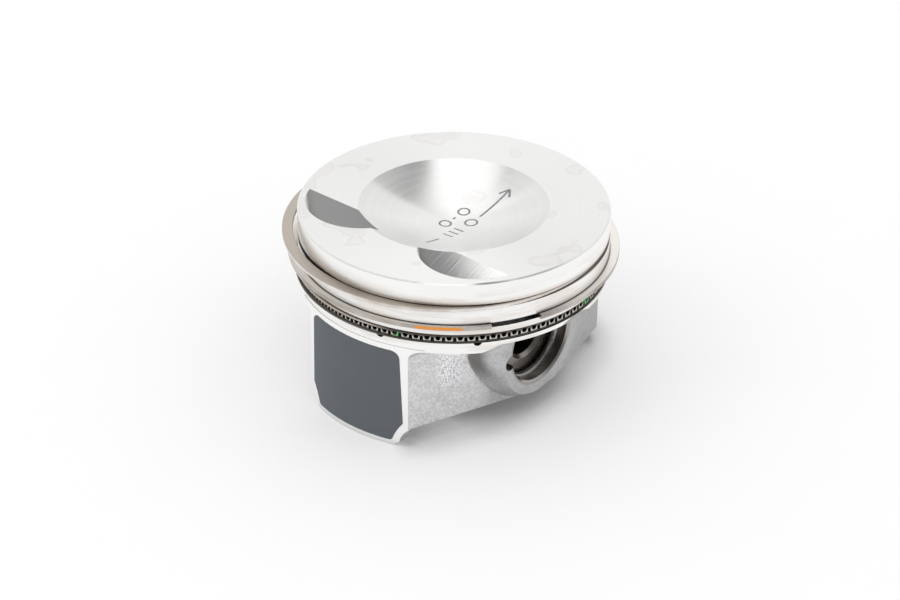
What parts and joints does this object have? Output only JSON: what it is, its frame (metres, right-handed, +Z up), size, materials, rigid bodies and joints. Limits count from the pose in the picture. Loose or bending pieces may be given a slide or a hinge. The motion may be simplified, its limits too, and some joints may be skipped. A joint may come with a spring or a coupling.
{
  "type": "engine piston",
  "caption": "Aluminium engine piston with a dished crown, coated skirts, sprung-open piston rings and a hollow wrist pin held by wire circlips.",
  "frame": {"origin": "where the piston's axis crosses the axis of the wrist pin", "axes": "+Z up the piston's axis to the crown, +Y along the wrist pin, +X to the thrust side, which has the two valve pockets"},
  "size_m": [0.0888, 0.0876, 0.05],
  "materials": {
    "cast_aluminium": "turned on the crown and belt, as cast on the walls",
    "skirt_coating": "matt graphite resin",
    "nitrided_steel": "satin, straw coloured",
    "phosphated_iron": "satin, phosphated",
    "rail_steel": "satin",
    "expander_steel": "bright strip",
    "hardened_steel": "ground and polished",
    "spring_steel": "bright drawn wire"
  },
  "bodies": {
    "piston": {"piston_body": "cast_aluminium", "thrust_skirt_coating": "skirt_coating", "rear_skirt_coating": "skirt_coating", "circlip_front": "spring_steel", "circlip_rear": "spring_steel"},
    "top_ring": {"top_ring": "nitrided_steel"},
    "second_ring": {"second_ring": "phosphated_iron"},
    "oil_rail_upper": {"oil_rail_upper": "rail_steel"},
    "oil_expander": {"oil_expander": "expander_steel"},
    "oil_rail_lower": {"oil_rail_lower": "rail_steel"},
    "wrist_pin": {"wrist_pin": "hardened_steel"}
  },
  "joints": [
    {"name": "top_ring_turn", "type": "hinge", "parent": "piston", "child": "top_ring", "pos_m": [0.00089, -0.00228, 0.02285], "axis": [0, 0, 1], "continuous": true},
    {"name": "second_ring_turn", "type": "hinge", "parent": "piston", "child": "second_ring", "pos_m": [-0.0014, -0.00123, 0.0174], "axis": [0, 0, 1], "continuous": true},
    {"name": "oil_rail_upper_turn", "type": "hinge", "parent": "piston", "child": "oil_rail_upper", "pos_m": [0.00037, -0.0006, 0.0147], "axis": [0, 0, 1], "continuous": true},
    {"name": "oil_expander_turn", "type": "hinge", "parent": "piston", "child": "oil_expander", "pos_m": [0.0002, -0.00032, 0.0137], "axis": [0, 0, 1], "continuous": true},
    {"name": "oil_rail_lower_turn", "type": "hinge", "parent": "piston", "child": "oil_rail_lower", "pos_m": [0.00037, -0.0006, 0.0127], "axis": [0, 0, 1], "continuous": true},
    {"name": "wrist_pin_turn", "type": "hinge", "parent": "piston", "child": "wrist_pin", "pos_m": [0, 0, 0], "axis": [0, 1, 0], "continuous": true}
  ]
}
